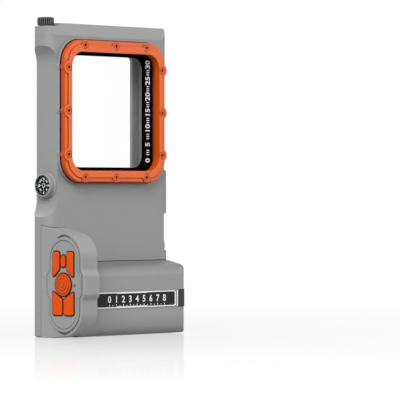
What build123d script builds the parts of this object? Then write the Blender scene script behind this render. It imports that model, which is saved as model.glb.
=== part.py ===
from build123d import *
import math
import os

os.makedirs("parts", exist_ok=True)

# Frame: x to the right as seen from the front, y towards the back, z up.
# The origin is the centre of the flat base. Sizes are in millimetres.

# Case body
body_width = 116.0
body_depth = 20.6
parting_height = 206.0
front_corner = 7.0
far_corner = 4.9
low_corner = 2.3
back_corner = 9.5
foot_round = 1.6
front_wall = 3.0
side_wall = 6.3
back_wall = 4.5
floor_wall = 8.0
side_face = -body_width / 2
front_face = -body_depth / 2
back_face = body_depth / 2
scoop_floor = side_face + 7.2
bay_half = -scoop_floor - side_wall
bay_front = front_face + front_wall
bay_back = back_face - back_wall

# Finger scoop in the near side
scoop_low = 82.3
scoop_high = 199.0
scoop_round = 14.0

# Far side: a shallow recess with a raised thumb pad
recess_low = 58.0
recess_high = 190.0
recess_depth = 3.6
recess_ramp = 8.0
pad_low = 83.0
pad_high = 116.0
pad_rise = 4.2
pad_front = -9.0
pad_back = 6.0
pad_corner = 1.2
pad_chamfer = 2.4

# Lens opening, its flange and its glass
lens_height = 154.8
flange_rise = 2.0
flange_margin = 7.2
flange_half_x = body_width / 2 - flange_margin
flange_half_z = 49.9
flange_corner = 17.5
glass_half_x = flange_half_x - 6.9
glass_half_z = flange_half_z - 7.0
glass_corner = 11.0
glass_thick = 2.4
glass_sink = 1.3
mask_thick = 0.25
lens_gasket_thick = 0.45
mask_near = 5.9
mask_far = 10.6
mask_band = 4.5
fit_gap = 0.2
sight_half_x = glass_half_x - 3.4
sight_half_z = glass_half_z - 3.9
sight_corner = 8.5
lip_rise = 1.5
lip_width = 2.0
flange_face = front_face - flange_rise
glass_front = flange_face + glass_sink
glass_back = glass_front + glass_thick
rebate_floor = glass_back + mask_thick + lens_gasket_thick

# Screwed bezel in front of the glass
bezel_half_x = flange_half_x - 1.0
bezel_half_z = flange_half_z - 1.0
bezel_corner = 16.5
bezel_thick = 4.5
bezel_bevel = 1.6
land_half_x = bezel_half_x - 6.2
land_half_z = bezel_half_z - 7.5
land_corner = 10.6
bezel_draft = 0.6
step_width = 3.4
step_drop = 0.8
screw_row_z = bezel_half_z - 3.6
screw_row_x = 30.1
screw_col_x = bezel_half_x - 3.9
screw_col_z = 29.8
row_boss_radius = 3.5
column_boss_radius = 4.5
screw_head_radius = 2.6
screw_head_height = 2.0
screw_shank_radius = 1.1
screw_length = 6.0
hex_socket = 1.25
bezel_face = flange_face - bezel_thick

# Clear back panel
panel_half = body_width / 2 - 11.9
panel_low = 4.8
panel_high = 202.2
panel_corner = 8.0
panel_thick = 2.0
panel_gasket_thick = 0.5
window_half = panel_half - 7.6
window_low = 11.6
window_high = 195.0
window_corner = 4.5
panel_front = back_face - panel_thick
ledge_face = panel_front - panel_gasket_thick

# Phone pads on the inside of the front wall
dome_columns = 5
dome_rows = 2
dome_pitch_x = 13.05
dome_pitch_z = 13.4
dome_radius = 5.0
dome_rise = 1.6
pad_sheet = 1.0
pad_margin = 0.7
upper_pad_height = 95.3
lower_pad_height = 50.8

# Honeycomb stiffening on the inside of the front wall, left out under the pads
comb_pitch = 6.4
comb_cell = 3.2
comb_depth = 0.5
comb_columns = 12
comb_rows = 17
comb_height = 61.5

# Lid
lid_top = 215.0
lid_skirt = 0.3
lid_inset = 3.5
lid_hollow = 3.6
platform_drop = 2.3
platform_height = lid_top - platform_drop
platform_length = 12.8
platform_round = 1.5
seal_outer_half = body_width / 2 - 11.0
seal_width = 1.8
seal_thick = 1.2
seal_margin = 0.7

# Lid hinge at the far top corner
hinge_x = body_width / 2 - 2.6
hinge_z = lid_top - 2.7
pin_radius = 0.75
pin_fit = 0.03
knuckle_fit = 0.08
ear_radius = 1.6
knuckle_half = 3.3
ear_gap = 0.3
ear_width = 2.0
seam_length = 5.0
lid_end = body_width / 2 - 0.5
lid_swing = math.hypot(lid_end - hinge_x, lid_top - hinge_z)
pin_half = knuckle_half + ear_gap + ear_width - 0.2

# Clamping thumbscrew at the near top corner
knob_x = side_face + 6.0
knob_y = 0.0
knob_radius = 5.8
knob_height = 5.5
knob_grips = 24
grip_radius = 0.45
knob_edge = 0.6
screw_end_depth = 1.5
washer_thick = 0.6
knob_top = platform_height + washer_thick + knob_height
washer_radius = 4.8
shank_radius = 1.9
shank_clearance = 0.5
insert_radius = 3.2
insert_length = 6.8
tip_gap = 0.4

# Compass on the scoop floor
compass_y = -0.2
compass_z = 103.8
compass_radius = 8.0
compass_rise = 4.5
compass_flare = 1.3
dial_radius = 6.9
compass_base = 0.7
compass_cover = 1.0
card_radius = 6.4
card_thick = 0.5
card_gap = 0.35
pivot_radius = 0.34
pivot_fit = 0.06
pivot_foot = 1.2
card_hub = 1.1

# Control module: a collar around the keys and a grip bar across the front
seam_y = -1.8
collar_thick = 15.0
collar_side = 8.0
foot_length = 11.0
collar_height = 76.7
collar_axis = 22.4
field_height = 36.5
key_spread = 16.9
plate_width = 25.8
plate_length = plate_width + 2 * key_spread
key_rim = 2.1
key_bezel_width = plate_width + 2 * key_rim
bezel_spread = key_spread + 0.4
collar_margin = 1.8
collar_round = key_bezel_width / 2 + collar_margin
collar_spread = key_spread + 1.3
plate_wing = 15.9
bezel_wing = plate_wing + 1.2
collar_wing = bezel_wing + 2.1
wing_half = 10.1
wing_ramp = 3.4
wing_round = 2.6
collar_edge = 0.5
seam_gap = 0.25
bar_depth = 18.0
bar_root_top = 51.3
bar_face_top = 47.3
bar_face_low = 0.4
bar_round = 8.0
bar_foot_round = 5.5
bar_end_round = 4.0
collar_front = collar_axis + collar_round
bar_face = front_face - bar_depth

# Battery bay, open to the back of the module
cell_radius = 7.0
cell_length = 50.0
cell_height = 25.0
cell_gap = 0.3
cell_left = side_face + 20.0
cell_nose = 2.7
cell_wall = 1.6
cell_y = bar_face + cell_wall + cell_radius + cell_gap
contact_size = 10.0
contact_thick = 0.5
cell_play = 1.0
module_seal_width = 1.6
module_seal_depth = 0.8

# Key field: plate, bezel, membrane, board and switches
plate_thick = 1.5
plate_proud = 0.6
plate_skirt = 1.0
key_bezel_proud = 0.9
key_bezel_sink = 1.5
crescent_radius = 9.0
crescent_rise = 1.4
membrane_thick = 0.8
key_travel = 0.8
key_gap = 0.1
key_side_gap = 0.3
key_proud = 0.9
key_flange = 0.2
key_flange_thick = 1.1
board_width = plate_width - 3.0
board_length = plate_length - 3.0
board_thick = 1.2
switch_size = 5.0
switch_height = 2.7
switch_stem = 1.2
switch_stem_rise = 0.8
switch_corner = 0.4
pocket_gap = 0.3
key_corner = 1.7
key_tip = 0.6
key_edge = 0.35
shutter_radius = 7.6
shutter_dome = 0.7
ring_width = 0.5
ring_pitch = 2.2
ring_depth = 0.25
ring_count = 3
pill_length = 8.0
pill_width = 4.4
pill_height = 52.4
plate_face = side_face - plate_proud
plate_back = plate_face + plate_thick
flange_back = plate_back + key_gap + key_flange_thick
membrane_front = flange_back + key_travel + key_gap
membrane_back = membrane_front + membrane_thick
board_front = membrane_back + switch_height + key_gap
board_back = board_front + board_thick
led_axis = 32.9
led_height = 36.1
led_radius = 0.8

# Labels on the bar
label_height = 11.0
label_centre = 25.0
label_thick = 0.5
label_end_gap = 10.9
strip_end_gap = 8.0
strip_height = 12.0
strip_thick = 0.5


def front_plane(y):
    """Plane facing the front, with x to the right and z up."""
    return Plane(origin=(0, y, 0), x_dir=(1, 0, 0), z_dir=(0, -1, 0))


def end_plane(x):
    """Plane facing the near side: first axis towards the front, second axis up."""
    return Plane(origin=(x, seam_y, 0), x_dir=(0, -1, 0), z_dir=(-1, 0, 0))


def slab(sketch, y_front, y_back):
    """Extrude a front-view sketch from one depth to another."""
    return extrude(front_plane(y_back) * sketch, y_back - y_front)


def end_slab(sketch, x_near, x_far):
    """Extrude an end-view sketch from one x to another."""
    return extrude(end_plane(x_far) * sketch, x_far - x_near)


def lens_outline(half_x, half_z, corner):
    return Pos(0, lens_height) * RectangleRounded(2 * half_x, 2 * half_z, corner)


def body_outline():
    plan = Rectangle(body_width, body_depth)
    back = plan.vertices().filter_by(lambda point: point.Y > 0)
    plan = fillet(back, back_corner)
    near = plan.vertices().filter_by(lambda point: point.Y < front_face + 0.01 and point.X < 0)
    plan = fillet(near, front_corner)
    far = plan.vertices().filter_by(lambda point: point.Y < front_face + 0.01 and point.X > bay_half)
    return fillet(far, far_corner)


def screw_places():
    """Centres of the bezel screws as (x, z) about the lens centre."""
    places = []
    for side in (-1, 1):
        for x in (-screw_row_x, 0, screw_row_x):
            places.append((x, side * screw_row_z))
        for z in (-screw_col_z, 0, screw_col_z):
            places.append((side * screw_col_x, z))
    return places


def screw_discs(radius):
    discs = Sketch()
    for x, z in screw_places():
        discs += Pos(x, lens_height + z) * Circle(radius)
    return discs


def boss_discs(grow):
    """Round bosses of the bezel; the ones in the side columns bulge outwards."""
    discs = Sketch()
    for x, z in screw_places():
        radius = row_boss_radius if abs(z) > screw_col_z else column_boss_radius
        discs += Pos(x, lens_height + z) * Circle(radius + grow)
    return discs


def scoop_cutter():
    """Slot-shaped cutter: its round ends leave the concave run-outs of the scoop."""
    depth = scoop_floor - side_face
    chord = math.sqrt(scoop_round**2 - (scoop_round - depth) ** 2)
    length = scoop_high - scoop_low - 2 * chord + 2 * scoop_round
    middle = (scoop_high + scoop_low) / 2
    slot = Pos(scoop_floor - scoop_round, middle) * Rot(0, 0, 90) * SlotOverall(length, 2 * scoop_round)
    return slab(slot, front_face - 1, back_face + 1)


def recess_cutter():
    side = body_width / 2
    inner = side - recess_depth
    outline = Polyline(
        (side + 2, recess_low - 2),
        (side, recess_low),
        (inner, recess_low + recess_ramp),
        (inner, recess_high - recess_ramp),
        (side, recess_high),
        (side + 2, recess_high + 2),
        close=True,
    )
    face = make_face(outline)
    soft = face.vertices().filter_by(lambda point: point.X < side + 1)
    return slab(fillet(soft, recess_ramp / 2), front_face - 1, back_face + 1)


def thumb_pad():
    inner = body_width / 2 - recess_depth
    outline = Polyline(
        (inner - 1, pad_low),
        (inner, pad_low),
        (inner + pad_rise, pad_low + pad_chamfer),
        (inner + pad_rise, pad_high - pad_chamfer),
        (inner, pad_high),
        (inner - 1, pad_high),
        close=True,
    )
    plan = RectangleRounded(2 * pad_rise, pad_back - pad_front, pad_corner)
    column = Pos(inner, (pad_back + pad_front) / 2, pad_low) * extrude(plan, pad_high - pad_low)
    return slab(make_face(outline), pad_front, pad_back) & column


def collar_profile():
    """Outline of the collar seen from the near end."""
    lower = (collar_axis, field_height - collar_spread)
    upper = (collar_axis, field_height + collar_spread)
    wing_reach = collar_axis + collar_wing
    wing_low = field_height - wing_half
    wing_high = field_height + wing_half
    low_touch, low_angle = tangent_point((foot_length, 0), lower, collar_round, -1)
    high_touch, high_angle = tangent_point((0, collar_height), upper, collar_round, 1)
    outline = [
        Polyline((0, collar_height), (0, 0), (foot_length, 0), low_touch),
        ThreePointArc(low_touch, polar(lower, collar_round, low_angle / 2), (collar_front, lower[1])),
        Polyline(
            (collar_front, lower[1]),
            (collar_front, wing_low),
            (wing_reach, wing_low + wing_ramp),
            (wing_reach, wing_high - wing_ramp),
            (collar_front, wing_high),
            (collar_front, upper[1]),
        ),
        ThreePointArc((collar_front, upper[1]), polar(upper, collar_round, high_angle / 2), high_touch),
        Line(high_touch, (0, collar_height)),
    ]
    face = make_face(outline)
    return fillet(wing_corners(face, collar_axis, collar_round), wing_round)


def wing_corners(face, axis, half_width):
    """Corners of the wings, which stand out on both sides of an upright slot."""
    middle = field_height
    near = face.vertices().filter_by(lambda point: abs(point.Y - middle) < wing_half + 0.01)
    return near.filter_by(lambda point: abs(point.X - axis) > half_width - 0.01)


def polar(centre, radius, angle):
    return (centre[0] + radius * math.cos(angle), centre[1] + radius * math.sin(angle))


def tangent_point(point, centre, radius, side):
    """Touch point, and its angle on the circle, of the tangent from a point outside."""
    dx = centre[0] - point[0]
    dz = centre[1] - point[1]
    distance = math.hypot(dx, dz)
    bearing = math.atan2(dz, dx) + side * math.asin(radius / distance)
    reach = math.sqrt(distance**2 - radius**2)
    touch = (point[0] + reach * math.cos(bearing), point[1] + reach * math.sin(bearing))
    return touch, math.atan2(touch[1] - centre[1], touch[0] - centre[0])


def bar_profile():
    """Outline of the grip bar in (depth, height); depth grows towards the front."""
    outline = Polyline(
        (front_face, bar_face_low),
        (front_face, bar_root_top),
        (bar_face, bar_face_top),
        (bar_face, bar_face_low),
        close=True,
    )
    face = make_face(outline)
    top = face.vertices().filter_by(lambda point: point.X < front_face - 1 and point.Y > cell_height)
    face = fillet(top, bar_round)
    low = face.vertices().filter_by(lambda point: point.Y < bar_face_low + 0.01).sort_by(Axis.X)[0]
    return fillet(low, bar_foot_round)


def rod(x, z, radius, y_front, y_back):
    """Cylinder along y."""
    return slab(Pos(x, z) * Circle(radius), y_front, y_back)


def post(x, y, radius, z_low, z_high):
    """Upright cylinder."""
    return Pos(x, y, z_low) * extrude(Circle(radius), z_high - z_low)


def ear_base():
    """Slope of the body below the far end of the lid, hollowed for the swing of the lid."""
    left = body_width / 2 - seam_length
    outline = Polyline(
        (left, parting_height - 1),
        (left, parting_height),
        (body_width / 2, parting_height + seam_length),
        (body_width / 2, parting_height - 1),
        close=True,
    )
    return make_face(outline) - Pos(hinge_x, hinge_z) * Circle(lid_swing + ear_gap)


def ear_profile():
    height = hinge_z - parting_height + 1
    leg = Pos(hinge_x, hinge_z - height / 2) * Rectangle(2 * ear_radius, height)
    return leg + Pos(hinge_x, hinge_z) * Circle(ear_radius)


def ear_spans():
    """Front and back limits of the two ears."""
    inner = knuckle_half + ear_gap
    return [(-inner - ear_width, -inner), (inner, inner + ear_width)]


def hinge_ears():
    """Sloped end of the body with the two ears that hold the hinge pin."""
    ears = slab(ear_base(), front_face, back_face)
    for front, back in ear_spans():
        ears += slab(ear_profile(), front, back)
    return ears & extrude(body_outline(), lid_top)


def bay_outline():
    height = parting_height + 20 - floor_wall
    plan = Pos(0, floor_wall + height / 2) * Rectangle(2 * bay_half, height)
    low = plan.vertices().filter_by(lambda point: point.Y < floor_wall + 1)
    return fillet(low, window_corner)


def upright_outline(half, low, high, corner):
    return Pos(0, (low + high) / 2) * RectangleRounded(2 * half, high - low, corner)


def honeycomb():
    """Shallow hexagonal cells in the inner face of the front wall."""
    pad_reach_x = dome_pitch_x * dome_columns / 2
    pad_reach_z = dome_pitch_z * dome_rows / 2 + comb_cell
    cells = []
    for row in range(comb_rows):
        z = comb_height + (row - (comb_rows - 1) / 2) * comb_pitch * math.sqrt(3) / 2
        shift = comb_pitch / 4 * (-1) ** row
        for column in range(comb_columns):
            x = (column - (comb_columns - 1) / 2) * comb_pitch + shift
            near_pad = min(abs(z - upper_pad_height), abs(z - lower_pad_height)) < pad_reach_z
            if not (near_pad and abs(x) < pad_reach_x):
                cells.append(Pos(x, z) * RegularPolygon(comb_cell, 6, rotation=30))
    return slab(Sketch() + cells, bay_front - comb_depth, bay_front + 1)


def corner_block():
    """Fuller front corner of the body below the recess, behind the far end of the grip bar."""
    plan = Rectangle(2 * far_corner, 2 * far_corner)
    corner = plan.vertices().filter_by(lambda point: point.X > 0 and point.Y < 0)
    block = extrude(fillet(corner, low_corner), recess_low - bar_face_low)
    return Pos(body_width / 2 - far_corner, front_face + far_corner, bar_face_low) * block


def build_body():
    body = extrude(body_outline(), parting_height)
    body = fillet(body.faces().sort_by(Axis.Z)[0].edges(), foot_round)
    body += corner_block()
    body -= recess_cutter()
    body += thumb_pad()
    body -= scoop_cutter()
    flange = lens_outline(flange_half_x, flange_half_z, flange_corner) + boss_discs(1)
    body += slab(flange, flange_face, front_face + 1)
    body -= slab(bay_outline(), bay_front, bay_back) + honeycomb()
    body += slab(
        lens_outline(sight_half_x + lip_width, sight_half_z + lip_width, sight_corner + lip_width),
        bay_front - 1,
        bay_front + lip_rise,
    )
    glass = lens_outline(glass_half_x + fit_gap, glass_half_z + fit_gap, glass_corner + fit_gap)
    body -= slab(glass, flange_face - 1, rebate_floor)
    body -= slab(lens_outline(sight_half_x, sight_half_z, sight_corner), flange_face, bay_front + lip_rise + 1)
    body -= slab(upright_outline(window_half, window_low, window_high, window_corner), bay_back - 1, back_face)
    rebate = upright_outline(
        panel_half + fit_gap, panel_low - fit_gap, panel_high + fit_gap, panel_corner + fit_gap
    )
    body -= slab(rebate, ledge_face, back_face + 1)
    screw_end = bezel_face + screw_head_height + screw_length
    body -= slab(screw_discs(screw_shank_radius + pin_fit), flange_face - 1, screw_end + fit_gap)
    body -= end_slab(offset(collar_profile(), seam_gap), side_face - 1, side_face + collar_side)
    body += hinge_ears()
    ear_end = knuckle_half + ear_gap + ear_width
    body -= rod(hinge_x, hinge_z, pin_radius + pin_fit, -ear_end - 1, ear_end + 1)
    insert_low = parting_height - insert_length
    body -= post(knob_x, knob_y, insert_radius, insert_low, parting_height + 1)
    return body


def build_pin():
    return rod(hinge_x, hinge_z, pin_radius, -pin_half, pin_half)


def lid_section():
    outline = Polyline(
        (front_face, parting_height),
        (back_face, parting_height),
        (back_face, parting_height + lid_skirt),
        (back_face - lid_inset, lid_top),
        (front_face + lid_inset, lid_top),
        (front_face, parting_height + lid_skirt),
        close=True,
    )
    return make_face(outline)


def seal_frame(grow):
    """Plan of the lid seal, grown by a clearance on every side."""
    front = bay_front - seal_margin - seal_width
    back = bay_back + seal_margin + seal_width
    middle = (front + back) / 2
    outer = RectangleRounded(2 * seal_outer_half + 2 * grow, back - front + 2 * grow, 3)
    inner = RectangleRounded(
        2 * (seal_outer_half - seal_width - grow), back - front - 2 * seal_width - 2 * grow, 1.5
    )
    return Pos(0, middle) * (outer - inner)


def far_undercut():
    """What the lid loses at its far end so that it can swing about the pin."""
    left = body_width / 2 - seam_length - ear_gap * math.sqrt(2)
    outline = Polyline(
        (left - 1, parting_height - 1),
        (left + 2 * seam_length, parting_height + 2 * seam_length),
        (left + 2 * seam_length, parting_height - 1),
        close=True,
    )
    return make_face(outline) - Pos(hinge_x, hinge_z) * Circle(lid_swing)


def platform_step():
    """Cut for the lower platform under the knob."""
    step = Pos(side_face + platform_length / 2 - 1, platform_height + platform_drop) * Rectangle(
        platform_length + 2, 2 * platform_drop
    )
    corner = step.vertices().filter_by(lambda point: point.X > knob_x and point.Y < lid_top)
    return fillet(corner, platform_round)


def build_lid():
    lid = extrude(Plane.YZ.offset(side_face) * lid_section(), lid_end - side_face)
    lid &= extrude(body_outline(), lid_top + 1)
    lid -= slab(far_undercut(), front_face - 1, back_face + 1)
    slot_left = hinge_x - ear_radius - ear_gap
    for front, back in ear_spans():
        slot = Pos(slot_left + 5, (front + back) / 2, lid_top - 5)
        lid -= slot * Box(10, ear_width + 2 * ear_gap, 30)
    lid -= rod(hinge_x, hinge_z, pin_radius + knuckle_fit, -knuckle_half - ear_gap, back_face + 1)
    lid -= slab(platform_step(), front_face - 1, back_face + 1)
    hollow_depth = bay_back - bay_front - 2
    hollow_plan = Pos(0, (bay_back + bay_front) / 2, parting_height) * RectangleRounded(
        2 * bay_half - 2, hollow_depth, 2
    )
    lid -= extrude(hollow_plan, lid_hollow)
    lid -= Pos(0, 0, parting_height) * extrude(seal_frame(0), seal_thick)
    lid -= post(knob_x, knob_y, shank_radius + shank_clearance, parting_height - 1, platform_height + 1)
    return lid


def build_lid_seal():
    return Pos(0, 0, parting_height) * extrude(seal_frame(0), seal_thick)


def build_insert():
    low = parting_height - insert_length
    ring = Circle(insert_radius) - Circle(shank_radius + shank_clearance)
    return Pos(knob_x, knob_y, low) * extrude(ring, insert_length)


def build_lock_screw():
    tip = parting_height - insert_length + tip_gap
    return post(knob_x, knob_y, shank_radius, tip, knob_top - screw_end_depth)


def build_washer():
    ring = Circle(washer_radius) - Circle(shank_radius + pivot_fit)
    return Pos(knob_x, knob_y, platform_height) * extrude(ring, washer_thick)


def build_knob():
    low = platform_height + washer_thick
    blank = Pos(knob_x, knob_y, low) * extrude(Circle(knob_radius), knob_height)
    knob = chamfer(blank.edges().filter_by(GeomType.CIRCLE), knob_edge)
    grooves = Sketch()
    for place in PolarLocations(knob_radius, knob_grips):
        grooves += place * Circle(grip_radius)
    knob -= Pos(knob_x, knob_y, low) * extrude(grooves, knob_height)
    return knob - post(knob_x, knob_y, shank_radius, low - 1, knob_top - screw_end_depth)


def build_bezel():
    base = lens_outline(bezel_half_x, bezel_half_z, bezel_corner)
    straight = bezel_thick - bezel_bevel
    bezel = slab(base + boss_discs(0), flange_face - straight, flange_face)
    upper = extrude(front_plane(flange_face - straight) * base, bezel_bevel, taper=45)
    bezel += upper + slab(boss_discs(0), bezel_face, flange_face)
    outer_step = lens_outline(bezel_half_x + 5, bezel_half_z + 5, bezel_corner + 5)
    inner_step = lens_outline(bezel_half_x - step_width, bezel_half_z - step_width, bezel_corner - step_width)
    bezel -= slab(outer_step - inner_step - boss_discs(0), bezel_face - 1, bezel_face + step_drop)
    skirt = lens_outline(glass_half_x, glass_half_z, glass_corner)
    bezel += slab(skirt, flange_face, glass_front)
    sight = lens_outline(land_half_x - bezel_draft, land_half_z - bezel_draft, land_corner)
    bezel -= slab(sight, bezel_face - 1, glass_front + 1)
    head_floor = bezel_face + screw_head_height
    bezel -= slab(screw_discs(screw_head_radius + fit_gap), bezel_face - 1, head_floor)
    bezel -= slab(screw_discs(screw_shank_radius + fit_gap), bezel_face - 1, flange_face + 1)
    return bezel


def build_bezel_screws():
    """Socket-head screws, all alike."""
    head = extrude(Circle(screw_head_radius), screw_head_height)
    shank = Pos(0, 0, -screw_length) * extrude(Circle(screw_shank_radius), screw_length)
    socket = Pos(0, 0, screw_head_height - 1.2) * extrude(RegularPolygon(hex_socket, 6), 2)
    screw = head + shank - socket
    screws = []
    for x, z in screw_places():
        place = front_plane(bezel_face + screw_head_height) * Pos(x, lens_height + z, 0)
        screws.append(place * screw)
    return Compound(children=screws)


def build_lens():
    return slab(lens_outline(glass_half_x, glass_half_z, glass_corner), glass_front, glass_back)


def build_mask():
    """Printed border, wider on the far side."""
    outer = lens_outline(glass_half_x, glass_half_z, glass_corner)
    left = mask_near - glass_half_x
    right = glass_half_x - mask_far
    clear = RectangleRounded(right - left, 2 * (glass_half_z - mask_band), sight_corner)
    return slab(outer - Pos((left + right) / 2, lens_height) * clear, glass_back, glass_back + mask_thick)


def build_lens_gasket():
    outer = lens_outline(glass_half_x, glass_half_z, glass_corner)
    inner = lens_outline(sight_half_x, sight_half_z, sight_corner)
    return slab(outer - inner, glass_back + mask_thick, rebate_floor)


def build_panel():
    return slab(upright_outline(panel_half, panel_low, panel_high, panel_corner), panel_front, back_face)


def build_panel_gasket():
    outer = upright_outline(panel_half, panel_low, panel_high, panel_corner)
    inner = upright_outline(window_half, window_low, window_high, window_corner)
    return slab(outer - inner, ledge_face, panel_front)


def build_phone_pad(height):
    """Silicone sheet with a field of round domes and a scalloped outline."""
    sheet = Sketch()
    for place in GridLocations(dome_pitch_x, dome_pitch_z, dome_columns, dome_rows):
        sheet += place * Circle(dome_radius + pad_margin)
    sheet += Rectangle(dome_pitch_x * (dome_columns - 1), dome_pitch_z * dome_rows)
    pad = slab(Pos(0, height) * sheet, bay_front, bay_front + pad_sheet)
    cap_radius = (dome_radius**2 + dome_rise**2) / (2 * dome_rise)
    cap_centre = bay_front + pad_sheet + dome_rise - cap_radius
    keep = slab(Pos(0, height) * sheet, bay_front + pad_sheet - 0.1, bay_front + pad_sheet + dome_rise)
    for place in GridLocations(dome_pitch_x, dome_pitch_z, dome_columns, dome_rows):
        x = place.position.X
        z = height + place.position.Y
        pad += Pos(x, cap_centre, z) * Sphere(cap_radius) & keep
    return pad


def on_scoop(part):
    """Stand a part, made with its axis along z, on the scoop floor."""
    return Pos(scoop_floor, compass_y, compass_z) * Rot(0, -90, 0) * part


def build_compass_housing():
    outline = make_face(
        [
            Line((0, 0), (compass_radius + compass_flare, 0)),
            RadiusArc(
                (compass_radius + compass_flare, 0), (compass_radius, compass_flare), compass_flare
            ),
            Polyline(
                (compass_radius, compass_flare),
                (compass_radius, compass_rise - 0.4),
                (compass_radius - 0.4, compass_rise),
                (dial_radius, compass_rise),
                (dial_radius, compass_base),
                (0, compass_base),
                (0, 0),
            ),
        ]
    )
    return on_scoop(revolve(Plane.XZ * outline, Axis.Z))


def build_compass_pivot():
    foot = Pos(0, 0, compass_base) * extrude(Circle(pivot_foot), card_gap)
    pin = Pos(0, 0, compass_base) * extrude(Circle(pivot_radius), card_gap + 2 * card_thick + 0.4)
    return on_scoop(foot + pin)


def build_compass_card():
    low = compass_base + card_gap + pivot_fit
    disc = Circle(card_radius) - Circle(pivot_radius + pivot_fit)
    hub = Circle(card_hub) - Circle(pivot_radius + pivot_fit)
    card = Pos(0, 0, low) * extrude(disc, card_thick) + Pos(0, 0, low) * extrude(hub, 2 * card_thick)
    return on_scoop(card)


def build_compass_lens():
    low = compass_rise - compass_cover
    return on_scoop(Pos(0, 0, low - 0.1) * extrude(Circle(dial_radius), compass_cover))


def key_outline(half_width, spread, wing):
    """Upright stadium with a shallow wing on either side of the round key."""
    slot = Rot(0, 0, 90) * SlotOverall(2 * (spread + half_width), 2 * half_width)
    side = half_width - 1
    flat = wing_half - wing_ramp
    wings = Polyline(
        (-side, -wing_half),
        (side, -wing_half),
        (wing, -flat),
        (wing, flat),
        (side, wing_half),
        (-side, wing_half),
        (-wing, flat),
        (-wing, -flat),
        close=True,
    )
    face = Pos(collar_axis, field_height) * (slot + make_face(wings))
    return fillet(wing_corners(face, collar_axis, half_width), wing_round)


def plate_outline(grow):
    return key_outline(plate_width / 2 + grow, key_spread, plate_wing + grow)


def key_bezel_outline(grow):
    return key_outline(key_bezel_width / 2 + grow, bezel_spread, bezel_wing + grow)


def bezel_pocket():
    """Seat of the key bezel, with a finger-nail recess above and below it."""
    outline = key_bezel_outline(pocket_gap)
    reach = bezel_spread + key_bezel_width / 2 + pocket_gap + crescent_rise - crescent_radius
    for side in (-1, 1):
        outline += Pos(collar_axis, field_height + side * reach) * Circle(crescent_radius)
    return outline


def grip_bar():
    left = side_face + collar_thick - 2
    plane = Plane(origin=(left, 0, 0), x_dir=(0, 1, 0), z_dir=(1, 0, 0))
    bar = extrude(plane * bar_profile(), body_width / 2 - left)
    length = body_width / 2 - left
    depth = bar_depth + 2 * bar_end_round
    plan = Rectangle(length, depth)
    corner = plan.vertices().filter_by(lambda point: point.X > 0 and point.Y < 0)
    plan = fillet(corner, bar_end_round)
    centre = (left + length / 2, bar_face + depth / 2, 0)
    return bar & Pos(*centre) * extrude(plan, bar_root_top + 5)


def build_module():
    """Collar and grip bar, one moulding, open at the back for the battery."""
    collar = end_slab(collar_profile(), side_face, side_face + collar_thick)
    rim = collar.faces().sort_by(Axis.X)[0].edges().filter_by(lambda edge: edge.center().Y < front_face)
    collar = fillet(rim, collar_edge)
    inner = Pos(side_face + collar_side + 10, front_face + 20, 50) * Box(20, 40, 200)
    module = collar - inner + grip_bar()
    module -= end_slab(bezel_pocket(), side_face - 1, side_face + key_bezel_sink)
    module -= end_slab(plate_outline(pocket_gap), side_face - 1, membrane_back)
    module -= end_slab(board_outline(pocket_gap), membrane_back - 1, board_back)
    hole = cell_radius + cell_gap
    length = cell_length + 2 * cell_play
    bay = along_bar(extrude(Circle(hole), length), cell_left - cell_play)
    mouth = Pos(cell_left - cell_play + length / 2, (cell_y + front_face) / 2, cell_height)
    bay += mouth * Box(length, front_face - cell_y, 2 * hole)
    groove = slab(module_seal_outline(), front_face - module_seal_depth, front_face + 1)
    return module - bay - groove


def along_bar(part, x):
    """Lay a part, made with its axis along z, in the battery bay."""
    return Pos(x, cell_y, cell_height) * Rot(0, 90, 0) * part


def module_seal_outline():
    middle = (cell_left + cell_length / 2, cell_height)
    width = cell_length + 2 * cell_play + 2 * module_seal_width
    height = 2 * (cell_radius + cell_gap) + 2 * module_seal_width
    inner = RectangleRounded(width, height, 2)
    outer = RectangleRounded(width + 2 * module_seal_width, height + 2 * module_seal_width, 3)
    return Pos(*middle) * (outer - inner)


def build_module_seal():
    return slab(module_seal_outline(), front_face - module_seal_depth, front_face)


def build_cell():
    shell = along_bar(extrude(Circle(cell_radius), cell_length - cell_play), cell_left)
    return shell + along_bar(extrude(Circle(cell_nose), cell_length), cell_left)


def build_cell_contacts():
    contacts = []
    reach = cell_play - contact_thick / 2
    for x in (cell_left - reach, cell_left + cell_length + reach):
        contacts.append(Pos(x, cell_y, cell_height) * Box(contact_thick, contact_size, contact_size))
    return Compound(children=contacts)


def board_outline(grow):
    slot = Rot(0, 0, 90) * SlotOverall(board_length + 2 * grow, board_width + 2 * grow)
    return Pos(collar_axis, field_height) * slot


def mirrored(points):
    """Points of a key reflected about the middle of the key field."""
    return [(2 * collar_axis - across, up) for across, up in points]


def key_shape(points, rounds):
    """Key outline with its own rounding at each corner."""
    face = make_face(Polyline(*points, close=True))
    for point, radius in zip(points, rounds):
        face = fillet(face.vertices().sort_by_distance((*point, 0))[0], radius)
    return face


def key_shapes():
    """Outline of each key as (towards the front, height)."""
    upper = [(12.5, 42.2), (12.5, 58.8), (18.8, 58.8), (18.8, 46.8), (13.8, 42.2)]
    upper_rounds = (key_tip, key_corner, key_corner, key_tip, key_tip)
    lower = [(12.3, 31.4), (12.3, 15.9), (21.7, 15.9), (21.7, 26.4), (13.3, 31.4)]
    lower_rounds = (key_tip / 2, key_corner, key_corner, key_tip, key_tip)
    pill = Rot(0, 0, 90) * SlotOverall(pill_length, pill_width)
    return {
        "key_upper_rear": key_shape(upper, upper_rounds),
        "key_upper_front": key_shape(mirrored(upper), upper_rounds),
        "key_mode": Pos(collar_axis, pill_height) * pill,
        "key_shutter": Pos(collar_axis, field_height) * Circle(shutter_radius),
        "key_lower_rear": key_shape(lower, lower_rounds),
        "key_lower_front": key_shape(mirrored(lower), lower_rounds),
    }


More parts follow.
